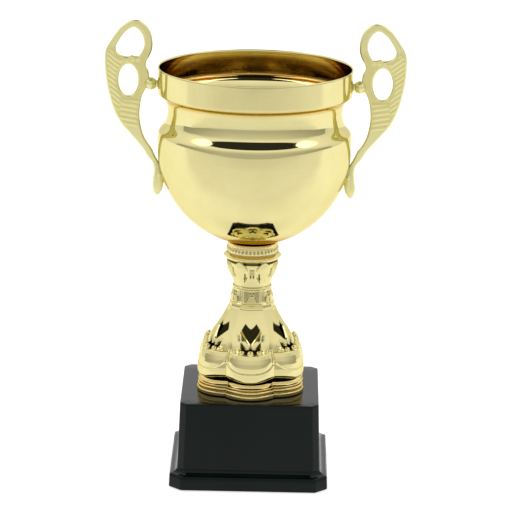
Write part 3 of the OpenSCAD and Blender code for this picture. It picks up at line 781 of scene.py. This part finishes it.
def make_felt():
    rise = top("felt_pad")
    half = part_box("felt_pad")[1].x / MM
    rng = np.random.default_rng(7)
    rings = []
    for w, z in ((half - 0.35, 0.0), (half - 0.1, 0.12), (half, 0.45), (half - 0.05, rise - 0.4),
                 (half - 0.15, rise - 0.1), (half - 0.4, rise), (half - 8, rise), (half - 20, rise), (4, rise),
                 (4, 0.0), (half - 20, 0.0), (half - 8, 0.0)):
        ring = squared(w, min(4, w / 2.5), 0.6, along=30)
        size = np.linalg.norm(ring, axis=1, keepdims=True)
        rings.append((ring / size * (size - np.abs(rng.normal(0, 0.05, size.shape))), z))
    co, faces = stacked(rings)
    # The innermost rings of the top and of the underside are each closed by one face
    n = len(rings[0][0])
    faces = [*faces[:8 * n], *faces[9 * n:], range(8 * n, 9 * n), range(10 * n - 1, 9 * n - 1, -1)]
    shown("felt_sheet", co, faces, [felt_cloth()], "felt_pad")


make_felt()

# Centre rod ---------------------------------------------------------------------------------


def make_rod():
    bottom, crest = low("centre_rod"), top("centre_rod")
    cols, radius, cut_depth, end_r = 48, 2.98, 0.55, 2.35
    z = np.concatenate([
        [bottom, bottom + 0.3, bottom + 0.6], np.arange(bottom + 0.7, bottom + 19, 0.125),
        np.linspace(bottom + 19.2, crest - 16.2, 12), np.arange(crest - 16, crest - 0.7, 0.125),
        [crest - 0.6, crest - 0.3, crest]])[:, None]
    wave = np.abs(((z - np.arange(cols) / cols) % 1.0) - 0.5) * 2
    threaded = 1 - span(z, bottom + 17.6, bottom + 18.6, crest - 15.8, crest - 14.8)
    r = radius - cut_depth * np.clip(wave * 1.25 - 0.12, 0, 1) * threaded
    r = np.minimum(r, end_r + np.minimum(z - bottom, crest - z))
    shown("threaded_rod", turned(r, z, cols), capped(len(z), cols), [rod_steel], "centre_rod")


make_rod()

# CAD pieces that keep their own shape -------------------------------------------------------

KEPT = {
    "ballast_weight": cast_iron(), "bottom_board": fibre_board(), "bowl_gasket": rubber(), "board_screws": zinc,
    "handle_screws": zinc, "handle_washers": zinc, "bowl_washer": zinc, "bowl_nut": zinc, "base_washer": zinc,
    "base_lock_washer": zinc, "base_nut": zinc}
for node, material in KEPT.items():
    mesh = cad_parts[node].data
    mesh.materials.clear()
    mesh.materials.append(material)

# Floor, light and camera --------------------------------------------------------------------


def make_floor():
    """Pale paper that glows more behind the trophy than in front of it."""
    reach, front = 9.0, -1.1
    mesh = bpy.data.meshes.new("studio_floor")
    corners = [(-reach, front, 0), (reach, front, 0), (reach, reach, 0), (-reach, reach, 0)]
    mesh.from_pydata(corners, [], [(0, 1, 2, 3)])
    material, n, place, plug = finish_of("studio_paper")
    along = n.add("ShaderNodeSeparateXYZ", {0: place}).outputs["Y"]
    depth = n.math("ADD", n.math("MULTIPLY", along, 0.5), 0.6)
    plug(Base_Color=n.grey(n.noise(place, 12.0, 4.0), [(0.3, 0.70), (0.7, 0.73)]),
         Emission_Color=n.grey(depth, [(0.05, 0.22), (0.18, 0.28), (0.35, 0.38), (0.52, 0.44), (0.58, 0.66)]))
    shader = material.node_tree.nodes["Principled BSDF"]
    shader.inputs["Roughness"].default_value = 1.0
    shader.inputs["Specular IOR Level"].default_value = 0.0
    shader.inputs["Emission Strength"].default_value = 1.0
    mesh.materials.append(material)
    floor = bpy.data.objects.new("studio_floor", mesh)
    bpy.context.scene.collection.objects.link(floor)


make_floor()


def make_sky():
    """A white tent with a dark opening overhead between two pairs of bright soft boxes."""
    world = bpy.data.worlds.new("studio_tent")
    bpy.context.scene.world = world
    world.use_nodes = True
    n = Nodes(world.node_tree)
    n.tree.nodes.clear()
    way = n.add("ShaderNodeTexCoord").outputs["Generated"]
    x, y, z = n.add("ShaderNodeSeparateXYZ", {0: way}).outputs
    # rise is 0 at the horizon and 1 overhead; facing is 1 in front of the trophy and -1 behind it
    rise = n.math("DIVIDE", n.math("ARCSINE", z), math.pi / 2)
    lifted = n.math("ADD", rise, 0.2)
    level = n.math("SQRT", n.math("ADD", n.math("MULTIPLY", x, x), n.math("MULTIPLY", y, y)))
    facing = n.math("DIVIDE", n.math("MULTIPLY", y, -1.0), n.math("MAXIMUM", level, 0.001))
    frontness = n.math("ADD", n.math("MULTIPLY", facing, 0.5), 0.5)
    # The room in front, seen through the tent's mouth, darker low down and aside
    room = n.grey(lifted, [(0.0, 0.62), (0.2, 0.60), (0.3, 0.70), (0.42, 0.86), (0.55, 1.05), (0.77, 1.15),
                           (0.80, 0.03), (1.0, 0.03)])
    aside = n.grey(frontness, [(0.36, 0.66), (0.55, 0.74), (0.9, 1.0)])
    shaded = n.grey(lifted, [(0.38, 0.0), (0.5, 1.0)])
    room = n.mix(1.0, room, n.mix(shaded, aside, (1, 1, 1, 1)), "MULTIPLY")
    # The tent's sides and back, with soft boxes high up
    tent = n.grey(lifted, [(0.2, 0.92), (0.45, 1.0), (0.66, 1.15), (0.72, 2.3), (0.98, 2.3)])
    tent = n.mix(n.grey(rise, [(0.86, 0.0), (0.88, 1.0)]), tent, (0.03, 0.03, 0.03, 1))
    rear = n.grey(rise, [(0.0, 0.95), (0.3, 1.05), (0.62, 1.2), (0.66, 0.05), (1.0, 0.03)])
    mouth = n.grey(lifted, [(0.06, 0.55), (0.12, 0.42), (0.2, 0.37), (0.3, 0.38), (0.37, 0.45), (0.41, 0.6)])
    in_mouth = n.grey(n.math("SUBTRACT", frontness, mouth), [(0.0, 0.0), (0.018, 1.0)])
    behind = n.grey(n.math("ADD", facing, 1.0), [(0.62, 1.0), (0.68, 0.0)])
    light = n.mix(behind, n.mix(in_mouth, tent, room), rear)
    back = n.add("ShaderNodeBackground", {"Color": light, "Strength": 1.0})
    n.add("ShaderNodeOutputWorld", {"Surface": back.outputs[0]})


make_sky()


def make_camera():
    """A long lens a little above the rim that looks down at the trophy."""
    data = bpy.data.cameras.new("studio_camera")
    camera = bpy.data.objects.new("studio_camera", data)
    bpy.context.scene.collection.objects.link(camera)
    data.sensor_width, data.lens = 36, 201.7
    data.clip_start, data.clip_end = 0.05, 60
    pitch, yaw, roll = math.radians(14.76), math.radians(-0.4627), math.radians(1.0)
    ahead = Vector((math.sin(yaw) * math.cos(pitch), math.cos(yaw) * math.cos(pitch), -math.sin(pitch)))
    right = Vector((math.cos(yaw), -math.sin(yaw), 0))
    up = right.cross(ahead)
    right, up = math.cos(roll) * right + math.sin(roll) * up, math.cos(roll) * up - math.sin(roll) * right
    turn = Matrix((right, up, -ahead)).transposed()
    stand = (0.0131, -1.404, 0.4825)
    camera.matrix_world = Matrix.Translation(stand) @ turn.to_4x4()
    bpy.context.scene.camera = camera


make_camera()
bpy.context.scene.view_settings.view_transform = "Standard"
